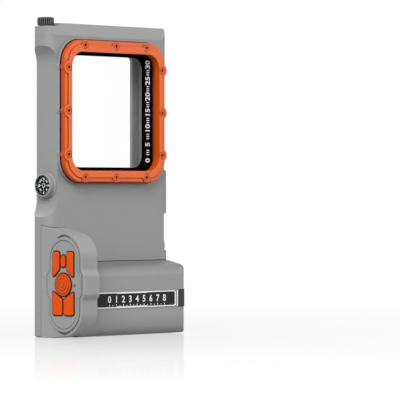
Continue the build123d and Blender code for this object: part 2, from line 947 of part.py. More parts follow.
def key_flange_part(shape):
    """Flange behind the plate that keeps a key in."""
    return end_slab(offset(shape, key_side_gap + key_flange), plate_back + key_gap, flange_back)


def build_key(shape):
    cap = end_slab(shape, plate_face - key_proud, plate_back + key_gap)
    top = cap.faces().sort_by(Axis.X)[0].edges()
    return fillet(top, key_edge) + key_flange_part(shape)


def build_shutter(shape):
    """Round key with a domed face and ring grooves for the thumb."""
    dome_size = (shutter_radius**2 + shutter_dome**2) / (2 * shutter_dome)
    top = plate_face - key_proud - shutter_dome
    cap = end_slab(shape, top, plate_back + key_gap)
    cap &= Pos(top + dome_size, seam_y - collar_axis, field_height) * Sphere(dome_size)
    for index in range(ring_count):
        outer = ring_pitch * (index + 1)
        ring = Circle(outer) - Circle(outer - ring_width)
        floor = top + outer**2 / (2 * dome_size) + ring_depth
        cap -= end_slab(Pos(collar_axis, field_height) * ring, top - 1, floor)
    return cap + key_flange_part(shape)


def build_plate(shapes):
    plate = end_slab(plate_outline(0), plate_face, plate_back)
    skirt = plate_outline(0) - plate_outline(-plate_skirt)
    plate += end_slab(skirt, plate_back, membrane_front)
    for shape in shapes.values():
        plate -= end_slab(offset(shape, key_side_gap), plate_face - 1, plate_back + 1)
    led = Pos(led_axis, led_height) * Circle(led_radius + fit_gap)
    return plate - end_slab(led, plate_face - 1, plate_back + 1)


def build_key_bezel():
    """Raised ring round the key plate, let into the end of the collar."""
    ring = key_bezel_outline(0) - plate_outline(pocket_gap)
    bezel = end_slab(ring, side_face - key_bezel_proud, side_face + key_bezel_sink)
    return fillet(bezel.faces().sort_by(Axis.X)[0].edges(), key_edge)


def build_membrane():
    sheet = plate_outline(0) - Pos(led_axis, led_height) * Circle(led_radius + fit_gap)
    return end_slab(sheet, membrane_front, membrane_back)


def build_board():
    return end_slab(board_outline(0), board_front, board_back)


def build_switches(shapes):
    """One switch behind the middle of each key."""
    switches = []
    for shape in shapes.values():
        middle = shape.center()
        place = Pos(middle.X, middle.Y)
        body = place * RectangleRounded(switch_size - 1, switch_size, switch_corner)
        switches.append(
            end_slab(body, board_front - switch_height + switch_stem_rise, board_front)
            + end_slab(place * Circle(switch_stem), board_front - switch_height, board_front)
        )
    return Compound(children=switches)


def build_led():
    return end_slab(Pos(led_axis, led_height) * Circle(led_radius), plate_face - 0.2, board_front)


def build_nameplate():
    left = side_face + collar_thick + 1.5
    right = body_width / 2 - label_end_gap
    plate = Pos((left + right) / 2, label_centre) * RectangleRounded(right - left, label_height, 0.8)
    return slab(plate, bar_face - label_thick, bar_face)


def build_end_strip():
    """Dark label that wraps round the far end of the grip bar."""
    left = body_width / 2 - strip_end_gap
    corner = body_width / 2 - bar_end_round
    outer = strip_plan(left, corner, strip_thick)
    inner = strip_plan(left - 1, corner, 0)
    strip = Pos(0, 0, label_centre - strip_height / 2) * extrude(outer - inner, strip_height)
    return strip


def strip_plan(left, corner, grow):
    """Plan of the bar's rounded end corner, grown outwards."""
    low = bar_face - grow
    right = body_width / 2 + grow
    high = bar_face + 2 * bar_end_round
    plan = Pos((left + right) / 2, (low + high) / 2) * Rectangle(right - left, high - low)
    far = plan.vertices().filter_by(lambda point: point.X > corner and point.Y < low + 0.01)
    return fillet(far, bar_end_round + grow)


shapes = key_shapes()
nodes = {
    "body_shell": build_body(),
    "top_lid": build_lid(),
    "lid_hinge_pin": build_pin(),
    "lid_seal": build_lid_seal(),
    "threaded_insert": build_insert(),
    "lock_knob": build_knob(),
    "lock_screw": build_lock_screw(),
    "knob_washer": build_washer(),
    "lens_bezel": build_bezel(),
    "bezel_screws": build_bezel_screws(),
    "lens_window": build_lens(),
    "window_mask": build_mask(),
    "lens_gasket": build_lens_gasket(),
    "back_window": build_panel(),
    "back_window_gasket": build_panel_gasket(),
    "phone_pad_upper": build_phone_pad(upper_pad_height),
    "phone_pad_lower": build_phone_pad(lower_pad_height),
    "compass_housing": build_compass_housing(),
    "compass_pivot": build_compass_pivot(),
    "compass_card": build_compass_card(),
    "compass_lens": build_compass_lens(),
    "control_module": build_module(),
    "module_seal": build_module_seal(),
    "battery_cell": build_cell(),
    "cell_contacts": build_cell_contacts(),
    "key_plate": build_plate(shapes),
    "key_bezel": build_key_bezel(),
    "key_membrane": build_membrane(),
    "control_board": build_board(),
    "tact_switches": build_switches(shapes),
    "status_led": build_led(),
    "nameplate": build_nameplate(),
    "end_strip": build_end_strip(),
}
for name, shape in shapes.items():
    nodes[name] = build_shutter(shape) if name == "key_shutter" else build_key(shape)
for name, part in nodes.items():
    export_step(part, f"parts/{name}.step")
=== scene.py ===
import bpy
import bmesh
import math
from mathutils import Matrix, Vector


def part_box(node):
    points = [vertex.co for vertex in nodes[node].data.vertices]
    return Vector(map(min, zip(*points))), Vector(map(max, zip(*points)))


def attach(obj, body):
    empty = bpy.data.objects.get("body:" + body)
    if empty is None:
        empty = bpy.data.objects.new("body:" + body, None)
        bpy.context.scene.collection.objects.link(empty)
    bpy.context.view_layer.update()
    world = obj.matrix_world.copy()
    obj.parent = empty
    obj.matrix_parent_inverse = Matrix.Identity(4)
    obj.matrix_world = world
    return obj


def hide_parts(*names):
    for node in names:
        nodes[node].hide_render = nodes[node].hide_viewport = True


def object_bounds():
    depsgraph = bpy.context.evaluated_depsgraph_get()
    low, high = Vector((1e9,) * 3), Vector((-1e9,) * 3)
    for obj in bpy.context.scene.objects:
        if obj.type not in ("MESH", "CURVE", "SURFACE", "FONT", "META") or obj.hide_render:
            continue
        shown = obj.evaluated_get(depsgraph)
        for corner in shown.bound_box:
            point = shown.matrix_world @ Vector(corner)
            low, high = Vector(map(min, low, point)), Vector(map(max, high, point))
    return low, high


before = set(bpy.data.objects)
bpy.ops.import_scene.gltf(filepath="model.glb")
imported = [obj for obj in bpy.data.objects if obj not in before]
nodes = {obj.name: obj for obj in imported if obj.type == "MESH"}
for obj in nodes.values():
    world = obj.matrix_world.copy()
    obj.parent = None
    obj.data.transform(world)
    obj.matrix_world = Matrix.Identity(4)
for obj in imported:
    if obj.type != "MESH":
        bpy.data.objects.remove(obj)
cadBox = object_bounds()
print("frame loaded:", len(nodes), "nodes")

mm = 0.001  # every length below is in mm unless its comment says metres


# Camera, from the photo's viewing angle
cameraSet = {
    "place": (-1506.6, -1503.3, 100.0),
    "heading": 46.95,  # degrees from +y towards +x, level
    "focalPixels": 3054.0,
    "frame": 400.0,  # pixels
    "horizonRow": 191.0,
    "sensor": 36.0,
    "farthest": 100.0,  # metres
}


def makeCamera():
    data = bpy.data.cameras.new("viewCamera")
    data.sensor_width = cameraSet["sensor"]
    data.lens = cameraSet["focalPixels"] * data.sensor_width / cameraSet["frame"]
    data.shift_y = (cameraSet["horizonRow"] - cameraSet["frame"] / 2) / cameraSet["frame"]
    data.clip_end = cameraSet["farthest"]
    camera = bpy.data.objects.new("viewCamera", data)
    camera.location = Vector(cameraSet["place"]) * mm
    camera.rotation_euler = (math.radians(90), 0, -math.radians(cameraSet["heading"]))
    bpy.context.scene.collection.objects.link(camera)
    bpy.context.scene.camera = camera


makeCamera()
print("camera set")


# Colours and nodes
def toLinear(hexCode):
    channels = [int(hexCode[i:i + 2], 16) / 255 for i in (1, 3, 5)]
    return [c / 12.92 if c <= 0.04045 else ((c + 0.055) / 1.055) ** 2.4 for c in channels] + [1.0]


def addNode(tree, kind, settings=None, inputs=None):
    # an input is linked where it is given a socket, and set where it is given a value
    node = tree.nodes.new(kind)
    for name, value in (settings or {}).items():
        setattr(node, name, value)
    for name, value in (inputs or {}).items():
        if isinstance(value, bpy.types.NodeSocket):
            tree.links.new(value, node.inputs[name])
        else:
            node.inputs[name].default_value = value
    return node


def newMaterial(name):
    material = bpy.data.materials.new(name)
    material.use_nodes = True
    tree = material.node_tree
    tree.nodes.clear()
    return material, tree, addNode(tree, "ShaderNodeTexCoord").outputs["Object"]


def closeMaterial(tree, kind, inputs):
    shader = addNode(tree, kind, inputs=inputs)
    addNode(tree, "ShaderNodeOutputMaterial", inputs={"Surface": shader.outputs[0]})


# What all moulded parts have in common
mouldSet = {"driftDetail": 3.0, "grooveSamples": 6, "grooveFrom": 0.2, "grooveTo": 0.75, "roughSpread": 0.05,
            "cornerSamples": 4, "ior": 1.5}


def drifting(tree, place, size, look, detail=2.0):
    # a colour that drifts between two tones; size is the width of one blotch
    noise = addNode(tree, "ShaderNodeTexNoise", inputs={
        "Vector": place, "Scale": 1 / (size * mm), "Detail": detail})
    return addNode(tree, "ShaderNodeMix", {"data_type": "RGBA"}, {
        0: noise.outputs["Fac"], 6: toLinear(look["dark"]), 7: toLinear(look["light"])}).outputs[2]


def uneven(tree, place, size, limits, detail=2.0):
    # a number that wanders between two limits; size is the width of one blotch
    noise = addNode(tree, "ShaderNodeTexNoise", inputs={
        "Vector": place, "Scale": 1 / (size * mm), "Detail": detail})
    low, high = limits
    return addNode(tree, "ShaderNodeMapRange", inputs={
        "Value": noise.outputs["Fac"], "To Min": low, "To Max": high}).outputs[0]


def facePaint(tree, tone, face):
    # painted sheen: faces turned to the front (-y) are painted in a paler colour, the sheen a lamp in front gives
    # them
    normal = addNode(tree, "ShaderNodeNewGeometry").outputs["Normal"]
    across = addNode(tree, "ShaderNodeVectorMath", {"operation": "DOT_PRODUCT"}, {0: normal, 1: (0, -1, 0)})
    start, end = face["slant"]
    share = addNode(tree, "ShaderNodeMapRange", inputs={
        "Value": across.outputs["Value"], "From Min": start, "From Max": end})
    return addNode(tree, "ShaderNodeMix", {"data_type": "RGBA"}, {
        0: share.outputs[0], 6: tone, 7: toLinear(face["colour"])}).outputs[2]


def gripWear(tree, tone, place, gripShade):
    # painted shade: the grip bar is painted darker along its root and above its lower edge, lighter in the middle
    at = addNode(tree, "ShaderNodeSeparateXYZ", inputs={"Vector": place}).outputs
    zones = (("Z", gripShade["root"], 1.0), ("Z", gripShade["foot"], gripShade["footShare"]), ("X", gripShade["barFrom"], 1.0))
    root, foot, bar = (
        addNode(tree, "ShaderNodeMapRange", {"interpolation_type": "SMOOTHSTEP"}, {
            "Value": at[axis], "From Min": start * mm, "From Max": end * mm, "To Max": most}).outputs[0]
        for axis, (start, end), most in zones)
    edges = addNode(tree, "ShaderNodeMath", {"operation": "MAXIMUM"}, {0: root, 1: foot})
    shadedShare = addNode(tree, "ShaderNodeMath", {"operation": "MULTIPLY"}, {0: edges.outputs[0], 1: bar})
    return addNode(tree, "ShaderNodeMix", {"data_type": "RGBA"}, {
        0: shadedShare.outputs[0], 6: tone, 7: toLinear(gripShade["gripShadeColour"])}).outputs[2]


def mouldedPlastic(name, look):
    # Moulded plastic or rubber: a fine grain that spreads the highlight, a slight drift of tone from the melt,
    # corners rounded by the mould, painted shade in grooves and seams, and where asked a painted front sheen and
    # grip shade.
    material, tree, place = newMaterial(name)
    tone = drifting(tree, place, look["driftSize"], look, mouldSet["driftDetail"])
    # painted sheen on the faces that look to the front
    if "face" in look:
        tone = facePaint(tree, tone, look["face"])
    # painted shade along the grip bar's root and foot
    if "gripShade" in look:
        tone = gripWear(tree, tone, place, look["gripShade"])
    # painted shade: ambient occlusion mixes the colour towards a dark shade colour in grooves, seams and inner
    # corners
    paintedShadeAo = addNode(tree, "ShaderNodeAmbientOcclusion", {"samples": mouldSet["grooveSamples"]},
                   {"Distance": look["grooveWidth"] * mm})
    unshadedShare = addNode(tree, "ShaderNodeMapRange", inputs={
        "Value": paintedShadeAo.outputs["AO"], "From Min": mouldSet["grooveFrom"],
        "From Max": look.get("grooveTo", mouldSet["grooveTo"])})
    colour = addNode(tree, "ShaderNodeMix", {"data_type": "RGBA"}, {
        0: unshadedShare.outputs[0], 6: toLinear(look["groove"]), 7: tone})
    grain = addNode(tree, "ShaderNodeTexNoise", inputs={
        "Vector": place, "Scale": 1 / (look["grainSize"] * mm)}).outputs["Fac"]
    corner = addNode(tree, "ShaderNodeBevel", {"samples": mouldSet["cornerSamples"]},
                     {"Radius": look["cornerRound"] * mm})
    bump = addNode(tree, "ShaderNodeBump", inputs={"Strength": look["grain"], "Distance": look["grainDepth"] * mm,
                                                   "Height": grain, "Normal": corner.outputs[0]})
    rough = addNode(tree, "ShaderNodeMapRange", inputs={
        "Value": grain, "To Min": look["roughness"] - mouldSet["roughSpread"],
        "To Max": look["roughness"] + mouldSet["roughSpread"]})
    closeMaterial(tree, "ShaderNodeBsdfPrincipled", {
        "IOR": mouldSet["ior"], "Specular IOR Level": look["gloss"], "Base Color": colour.outputs[2],
        "Roughness": rough.outputs[0], "Normal": bump.outputs["Normal"]})
    return material


# grainSize is drawn about twice as coarse as a real mould grain, so that it shows
greyMould = {"groove": "#5A5A5A", "grooveWidth": 1.0, "driftSize": 40, "grainSize": 0.9, "grain": 0.35,
             "grainDepth": 0.03, "cornerRound": 0.35, "roughness": 0.5, "gloss": 0.4}
# each look's dark shade colour is painted into grooves, seams and inner corners as painted shade, over the width it
# gives
plastics = {
    # grey ABS from a spark-eroded mould: an even matt grey, with soft edges and painted shade in its seams
    "greyAbs": {**greyMould, "dark": "#929292", "light": "#9A9A9A"},
    # the same ABS on the grip bar, with painted shade: lighter in the middle, darker along its root and foot
    "gripAbs": {**greyMould, "dark": "#959595", "light": "#9D9D9D",
                "gripShade": {"root": (40, 51), "foot": (17, 2), "footShare": 0.6, "barFrom": (-34, -26),
                         "gripShadeColour": "#747474"}},
    # orange ABS: deep orange walls under a face painted paler as a sheen, and painted brown shade in its inner
    # corners
    "orangeAbs": {"dark": "#CA4A04", "light": "#D25208", "groove": "#74280A", "grooveWidth": 3.0, "driftSize": 18,
                  "grainSize": 0.7, "grain": 0.25, "grainDepth": 0.02, "cornerRound": 0.3, "roughness": 0.36,
                  "gloss": 0.2, "grooveTo": 0.85, "face": {"colour": "#F07240", "slant": (0.8, 0.98)}},
    # orange polycarbonate: smoother and more saturated, with wide rounded edges
    "orangePolycarbonate": {"dark": "#DA4802", "light": "#E85606", "groove": "#5E1E04", "grooveWidth": 1.2,
                            "driftSize": 3, "grainSize": 0.5, "grain": 0.2, "grainDepth": 0.02,
                            "cornerRound": 0.9, "roughness": 0.3, "gloss": 0.14},
    # painted shade: a dark orange for the shade round a screw head
    "darkOrangeInk": {"dark": "#8A3208", "light": "#93380C", "groove": "#5A1E04", "grooveWidth": 0.3,
                      "driftSize": 4, "grainSize": 0.3, "grain": 0.1, "grainDepth": 0.005, "cornerRound": 0.05,
                      "roughness": 0.5, "gloss": 0.2},
    # black acetal: dark grey and shiny on the ridges, painted shade makes it black between them
    "blackAcetal": {"dark": "#4A4A4B", "light": "#545455", "groove": "#101010", "grooveWidth": 1.1, "driftSize": 5,
                    "grainSize": 0.5, "grain": 0.3, "grainDepth": 0.02, "cornerRound": 0.2, "roughness": 0.36,
                    "gloss": 0.7},
    # black silicone: dull and nearly black, with round edges that catch little light
    "blackSilicone": {"dark": "#0A0A0B", "light": "#101011", "groove": "#030303", "grooveWidth": 0.8,
                      "driftSize": 8, "grainSize": 1.2, "grain": 0.12, "grainDepth": 0.02, "cornerRound": 0.25,
                      "roughness": 0.62, "gloss": 0.2},
    # black screen ink: flat and deeper than the plastics round it
    "blackInk": {"dark": "#050505", "light": "#080808", "groove": "#020202", "grooveWidth": 0.5, "driftSize": 12,
                 "grainSize": 0.3, "grain": 0.1, "grainDepth": 0.005, "cornerRound": 0.1, "roughness": 0.45,
                 "gloss": 0.2},
    # black label film: a slightly grey black with hardly a sheen
    "blackFilm": {"dark": "#232324", "light": "#29292A", "groove": "#0C0C0C", "grooveWidth": 0.5, "driftSize": 12,
                  "grainSize": 0.4, "grain": 0.2, "grainDepth": 0.01, "cornerRound": 0.15, "roughness": 0.5,
                  "gloss": 0.12},
    # dark rubber: a grey sheen over near black
    "darkRubber": {"dark": "#202021", "light": "#262627", "groove": "#202020", "grooveWidth": 0.5, "driftSize": 6,
                   "grainSize": 0.4, "grain": 0.2, "grainDepth": 0.01, "cornerRound": 0.2, "roughness": 0.5,
                   "gloss": 0.4},
    # white screen ink: opaque and even
    "whiteInk": {"dark": "#F0F0EE", "light": "#F6F6F4", "groove": "#DADAD8", "grooveWidth": 0.1, "driftSize": 6,
                 "grainSize": 0.3, "grain": 0.1, "grainDepth": 0.005, "cornerRound": 0.05, "roughness": 0.5,
                 "gloss": 0.3},
    # smoked acrylic over an unlit lamp: a small dark glint
    "smokedAcrylic": {"dark": "#5E5E5E", "light": "#686868", "groove": "#303030", "grooveWidth": 0.3,
                      "driftSize": 2, "grainSize": 0.3, "grain": 0.1, "grainDepth": 0.01, "cornerRound": 0.1,
                      "roughness": 0.2, "gloss": 0.5},
    # solder mask on a circuit board: dark green lacquer
    "greenSolderMask": {"dark": "#134028", "light": "#17502F", "groove": "#0A2014", "grooveWidth": 0.4,
                        "driftSize": 4, "grainSize": 0.4, "grain": 0.2, "grainDepth": 0.01, "cornerRound": 0.1,
                        "roughness": 0.4, "gloss": 0.5},
}
made = {name: mouldedPlastic(name, look) for name, look in plastics.items()}


def glowPaint(name, look):
    # Luminous paint on the compass card: a chalky pale green that drifts along a stroke.
    material, tree, place = newMaterial(name)
    closeMaterial(tree, "ShaderNodeBsdfPrincipled", {
        "Roughness": look["roughness"], "Specular IOR Level": look["gloss"],
        "Base Color": drifting(tree, place, look["chalkSize"], look)})
    return material


made["glowPaint"] = glowPaint("glowPaint", {"dark": "#4F8A6C", "light": "#7FB498", "chalkSize": 0.3,
                                            "roughness": 0.7, "gloss": 0.3})


def clearSheet(name, look):
    # Clear sheet: nearly unseen face on, a soft reflection at a slant, and a fine polish haze.
    material, tree, place = newMaterial(name)
    closeMaterial(tree, "ShaderNodeBsdfPrincipled", {
        "IOR": look["ior"], "Transmission Weight": 1.0, "Base Color": toLinear("#FFFFFF"),
        "Roughness": uneven(tree, place, look["hazeSize"], look["haze"])})
    return material


# Coated glass and hard-coated acrylic mirror almost nothing, so their IOR is brought down to that effect
made["coatedGlass"] = clearSheet("coatedGlass", {"ior": 1.08, "hazeSize": 20, "haze": (0.0028, 0.004)})
made["clearAcrylic"] = clearSheet("clearAcrylic", {"ior": 1.1, "hazeSize": 25, "haze": (0.014, 0.02)})


def turnedMetal(name, look):
    # Machined metal: fine tool marks that stretch the highlight.
    material, tree, place = newMaterial(name)
    closeMaterial(tree, "ShaderNodeBsdfPrincipled", {
        "Metallic": 1.0, "Base Color": toLinear(look["colour"]),
        "Roughness": uneven(tree, place, look["markSize"], look["roughness"], look["markDetail"])})
    return material


for name, colour in (("stainlessSteel", "#B9BABC"), ("turnedBrass", "#C9A35A")):
    made[name] = turnedMetal(name, {"colour": colour, "markSize": 0.4, "markDetail": 4.0,
                                    "roughness": (0.22, 0.38)})

finishes = {
    "greyAbs": ["body_shell", "top_lid", "key_plate", "key_bezel", "compass_housing"],
    "gripAbs": ["control_module"],
    "orangeAbs": ["lens_bezel", "bezel_screws"],
    "orangePolycarbonate": [name for name in nodes if name.startswith("key_") and name not in
                            ("key_plate", "key_bezel", "key_membrane")],
    "blackAcetal": ["lock_knob", "knob_washer", "battery_cell", "tact_switches"],
    "smokedAcrylic": ["status_led"],
    "blackSilicone": ["lid_seal", "lens_gasket", "back_window_gasket", "phone_pad_upper", "phone_pad_lower",
                      "module_seal", "key_membrane"],
    "blackInk": ["window_mask", "compass_card"],
    "blackFilm": ["nameplate"],
    "darkRubber": ["end_strip"],
    "greenSolderMask": ["control_board"],
    "coatedGlass": ["lens_window", "compass_lens"],
    "clearAcrylic": ["back_window"],
    "stainlessSteel": ["lid_hinge_pin", "lock_screw", "compass_pivot", "cell_contacts"],
    "turnedBrass": ["threaded_insert"],
}
for finish, names in finishes.items():
    for name in names:
        nodes[name].data.materials.clear()
        nodes[name].data.materials.append(made[finish])
print("materials assigned")


# Making and placing the scene's own pieces
def evaluated(holder):
    # the finished mesh of an object with live modifiers, or of a text
    bpy.context.scene.collection.objects.link(holder)
    bpy.context.view_layer.update()
    graph = bpy.context.evaluated_depsgraph_get()
    mesh = bpy.data.meshes.new_from_object(holder.evaluated_get(graph), depsgraph=graph)
    holder.modifiers.clear()
    bpy.data.objects.remove(holder)
    return mesh


def newTree(name, sizes):
    tree = bpy.data.node_groups.new(name, "GeometryNodeTree")
    for label, kind in sizes.items():
        tree.interface.new_socket(name=label, in_out="INPUT", socket_type="NodeSocket" + kind)
    tree.interface.new_socket(name="Geometry", in_out="OUTPUT", socket_type="NodeSocketGeometry")
    return tree, addNode(tree, "NodeGroupInput").outputs


def closeTree(tree, geometry, material):
    real = addNode(tree, "GeometryNodeRealizeInstances", inputs={"Geometry": geometry})
    inked = addNode(tree, "GeometryNodeSetMaterial", inputs={"Geometry": real.outputs[0], "Material": material})
    addNode(tree, "NodeGroupOutput", inputs={"Geometry": inked.outputs[0]})
    return tree


def growMesh(tree, lengths, others):
    # runs a node tree; lengths are in mm, others are counts and objects
    values = {**others, **{name: length * mm for name, length in lengths.items()}}
    holder = bpy.data.objects.new(tree.name, bpy.data.meshes.new(tree.name))
    modifier = holder.modifiers.new("grow", "NODES")
    modifier.node_group = tree
    for socket in tree.interface.items_tree:
        if socket.in_out == "INPUT":
            modifier[socket.identifier] = values[socket.name]
    return evaluated(holder)


def facing(side, x, y, z):
    # stands a flat piece, drawn in x and y with its face along z, on a side of the case
    across, up, out = {
        "front": ((1, 0, 0), (0, 0, 1), (0, -1, 0)),
        "side": ((0, -1, 0), (0, 0, 1), (-1, 0, 0)),
        "back": ((-1, 0, 0), (0, 0, 1), (0, 1, 0)),
        "under": ((1, 0, 0), (0, -1, 0), (0, 0, -1)),
    }[side]
    place = Matrix((across, up, out)).transposed().to_4x4()
    place.translation = Vector((x, y, z)) * mm
    return place


def moved(mesh, place):
    mesh.transform(place)
    return mesh


def turned(degrees, x=0.0, y=0.0):
    return Matrix.Translation(Vector((x, y, 0)) * mm) @ Matrix.Rotation(math.radians(degrees), 4, "Z")


def addPiece(name, meshes, body, stands=()):
    # joins meshes that are already in place into one piece that rides on a body
    shape = bmesh.new()
    for mesh in meshes:
        shape.from_mesh(mesh)
    whole = bpy.data.meshes.new(name)
    shape.to_mesh(whole)
    shape.free()
    for material in meshes[0].materials:
        whole.materials.append(material)
    piece = bpy.data.objects.new(name, whole)
    bpy.context.scene.collection.objects.link(piece)
    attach(piece, body)
    if stands:
        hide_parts(*stands)


def closedMesh(name, shape, material):
    # turns every face of a finished bmesh outwards and makes a mesh of it
    bmesh.ops.recalc_face_normals(shape, faces=shape.faces)
    mesh = bpy.data.meshes.new(name)
    shape.to_mesh(mesh)
    shape.free()
    mesh.materials.append(material)
    return mesh


inkSet = {"bold": 0.018, "steps": 3, "weld": 1e-7}  # bold is a share of the text's size; weld is in metres


def inkText(words, size, depth, material):
    curve = bpy.data.curves.new(words, "FONT")
    curve.body = words
    curve.size = size * mm
    curve.align_x = "CENTER"
    curve.align_y = "CENTER"
    curve.extrude = depth * mm / 2
    curve.offset = size * inkSet["bold"] * mm
    curve.resolution_u = inkSet["steps"]
    shape = bmesh.new()
    shape.from_mesh(evaluated(bpy.data.objects.new(words, curve)))
    bmesh.ops.remove_doubles(shape, verts=shape.verts, dist=inkSet["weld"])
    return closedMesh(words, shape, material)


def roundedLoop(corners, steps=5):
    # points of a closed outline whose corners (x, y, radius) are rounded
    points = []
    for i, (x, y, radius) in enumerate(corners):
        here = Vector((x, y))
        before = (Vector(corners[i - 1][:2]) - here).normalized()
        after = (Vector(corners[(i + 1) % len(corners)][:2]) - here).normalized()
        if radius <= 0:
            points.append(here)
            continue
        half = before.angle(after) / 2
        middle = here + (before + after).normalized() * radius / math.sin(half)
        start = here + before * radius / math.tan(half) - middle
        end = here + after * radius / math.tan(half) - middle
        for step in range(steps + 1):
            points.append(middle + start.lerp(end, step / steps).normalized() * radius)
    return points


def boxLoop(x, low, high, corner, steps=10):
    return roundedLoop([(-x, low, corner), (x, low, corner), (x, high, corner), (-x, high, corner)], steps)


def circleLoop(radius, steps):
    return [(radius * math.cos(2 * math.pi * i / steps), radius * math.sin(2 * math.pi * i / steps))
            for i in range(steps)]


def flatSheet(name, loops, depth, material):
    # a thin sheet with its back at z 0: the first loop is its outline, the others are its holes
    shape = bmesh.new()
    for loop in loops:
        points = [shape.verts.new((p[0] * mm, p[1] * mm, 0)) for p in loop]
        for start, end in zip(points, points[1:] + points[:1]):
            shape.edges.new((start, end))
    bmesh.ops.triangle_fill(shape, use_beauty=True, edges=shape.edges[:], normal=(0, 0, 1))
    grown = bmesh.ops.extrude_face_region(shape, geom=shape.faces[:], use_keep_orig=True)
    raised = [item for item in grown["geom"] if isinstance(item, bmesh.types.BMVert)]
    bmesh.ops.translate(shape, verts=raised, vec=(0, 0, depth * mm))
    return closedMesh(name, shape, material)


def flatRing(name, outer, inner, steps, depth, material):
    return flatSheet(name, [circleLoop(outer, steps), circleLoop(inner, steps)], depth, material)


def spun(name, profile, steps, material, smooth=True):
    # a closed form turned about z from (radius, height) points that begin and end on the axis
    shape = bmesh.new()
    rings = []
    for radius, height in profile:
        if radius == 0:
            rings.append([shape.verts.new((0, 0, height * mm))] * steps)
        else:
            rings.append([shape.verts.new((x * mm, y * mm, height * mm)) for x, y in circleLoop(radius, steps)])
    for lower, upper in zip(rings, rings[1:]):
        for i in range(steps):
            j = (i + 1) % steps
            face = shape.faces.new(list(dict.fromkeys([lower[i], lower[j], upper[j], upper[i]])))
            face.smooth = smooth
    return closedMesh(name, shape, material)


def loopBand(name, outer, inner, section, thick, material):
    # a closed band between two outlines with the same number of points; section is (share across, share of height)
    shape = bmesh.new()
    rings = [[shape.verts.new((*(o.lerp(i, across) * mm), height * thick * mm)) for o, i in zip(outer, inner)]
             for across, height in section]
    for ring, following in zip(rings, rings[1:] + rings[:1]):
        for i in range(len(ring)):
            j = (i + 1) % len(ring)
            shape.faces.new((ring[i], ring[j], following[j], following[i]))
    return closedMesh(name, shape, material)


def ringTree(name, material):
    # bars that stand round a circle, pointing at its middle
    tree, size = newTree(name, {"Count": "Int", "Radius": "Float", "Bar Length": "Float", "Bar Width": "Float",
                                "Bar Depth": "Float"})
    ring = addNode(tree, "GeometryNodeMeshCircle", {"fill_type": "NONE"},
                   {"Vertices": size["Count"], "Radius": size["Radius"]})
    place = addNode(tree, "GeometryNodeInputPosition")
    heading = addNode(tree, "FunctionNodeAlignRotationToVector", {"axis": "X"}, {"Vector": place.outputs[0]})
    bulk = addNode(tree, "ShaderNodeCombineXYZ", inputs={
        "X": size["Bar Length"], "Y": size["Bar Width"], "Z": size["Bar Depth"]})
    bar = addNode(tree, "GeometryNodeMeshCube", inputs={"Size": bulk.outputs[0]})
    bars = addNode(tree, "GeometryNodeInstanceOnPoints", inputs={
        "Points": ring.outputs[0], "Instance": bar.outputs[0], "Rotation": heading.outputs[0]})
    return closeTree(tree, bars.outputs[0], material)


def barRing(name, look, depth, material):
    return growMesh(ringTree(name, material),
                    {"Radius": look["radius"], "Bar Length": look["length"], "Bar Width": look["width"],
                     "Bar Depth": depth}, {"Count": look["count"]})


# Compass dial: ticks, letters and a luminous rose on a float that fills the height under the cover
dialSet = {
    "card": -52.41, "face": -53.93, "y": -0.2, "z": 103.8,  # the card, the top of its float, their middle
    # the float is a capsule, hollow where the pivot stands
    "float": [(0, 1.3), (1.1, 1.3), (1.3, 0.02), (6.3, 0.02), (6.42, 0.12), (6.42, 1.4), (6.3, 1.52), (0, 1.52)],
    "floatSteps": 64,
    "ticks": {"radius": 5.6, "count": 36, "length": 0.5, "width": 0.16},
    "arms": {"radius": 2.6, "count": 4, "length": 1.5, "width": 0.55},
    "hubRadius": 1.5, "hubWidth": 0.3, "hubSteps": 32,
    "main": {"words": ("E", "N", "W", "S"), "from": 0, "radius": 4.35, "size": 2.1},
    "between": {"words": ("NE", "NW", "SW", "SE"), "from": 45, "radius": 4.1, "size": 1.5},
    "ink": 0.05,
}


def dialLetters(look, side, material):
    letters = []
    for step, words in enumerate(look["words"]):
        angle = look["from"] + 90 * step
        x = look["radius"] * math.cos(math.radians(angle))
        y = look["radius"] * math.sin(math.radians(angle))
        mesh = inkText(words, look["size"], dialSet["ink"], material)
        letters.append(moved(mesh, side @ turned(angle - 90, x, y)))
    return letters


def makeDial():
    capsule = spun("dialFloat", dialSet["float"], dialSet["floatSteps"], made["blackInk"], smooth=False)
    moved(capsule, facing("side", dialSet["card"], dialSet["y"], dialSet["z"]))
    addPiece("dialFloat", [capsule], "compass_card")

    side = facing("side", dialSet["face"], dialSet["y"], dialSet["z"])
    white, green, ink = made["whiteInk"], made["glowPaint"], dialSet["ink"]
    ticks = barRing("dialTicks", dialSet["ticks"], ink, white)
    addPiece("dialScale", [moved(ticks, side)] + dialLetters(dialSet["between"], side, white), "compass_card")

    arms = barRing("dialArms", dialSet["arms"], ink, green)
    hub = flatRing("dialHub", dialSet["hubRadius"], dialSet["hubRadius"] - dialSet["hubWidth"],
                   dialSet["hubSteps"], ink, green)
    addPiece("dialRose", [moved(arms, side), moved(hub, side)] + dialLetters(dialSet["main"], side, green),
             "compass_card")


makeDial()
print("compass card marked")


